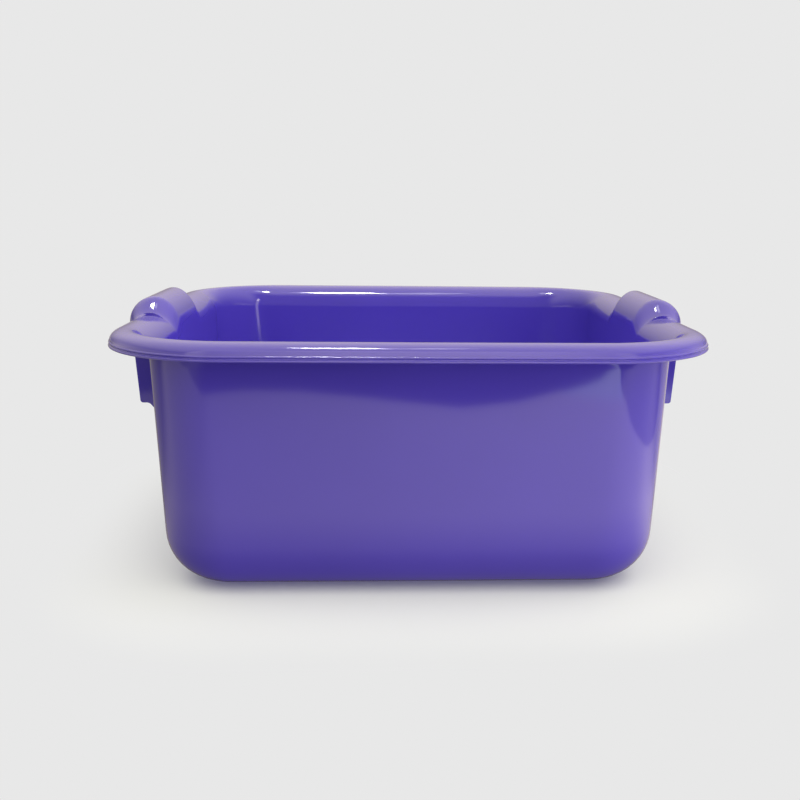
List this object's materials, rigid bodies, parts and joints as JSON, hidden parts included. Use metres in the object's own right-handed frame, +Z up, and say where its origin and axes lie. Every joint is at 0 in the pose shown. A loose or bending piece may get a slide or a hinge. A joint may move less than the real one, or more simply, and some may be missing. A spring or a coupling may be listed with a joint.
{
  "type": "basin",
  "caption": "Square plastic basin with a broad rolled rim that rises into a raised grip on each side, and webs that join the grips to the walls.",
  "frame": {"origin": "middle of the basin on the surface it stands on, at the underside of the foot ring", "axes": "+Z up, the front side faces -Y, the two raised grips are on the left (-X) and the right (+X)"},
  "size_m": [0.4128, 0.401, 0.1857],
  "materials": {
    "plastic": "glossy violet-blue, moulded in colour"
  },
  "bodies": {
    "root": {"floor_panel": "plastic", "foot_ring": "plastic", "front_wall": "plastic", "right_wall": "plastic", "back_wall": "plastic", "left_wall": "plastic", "front_rim": "plastic", "back_rim": "plastic", "left_grip": "plastic", "right_grip": "plastic", "left_front_web": "plastic", "left_back_web": "plastic", "right_front_web": "plastic", "right_back_web": "plastic"}
  },
  "joints": []
}
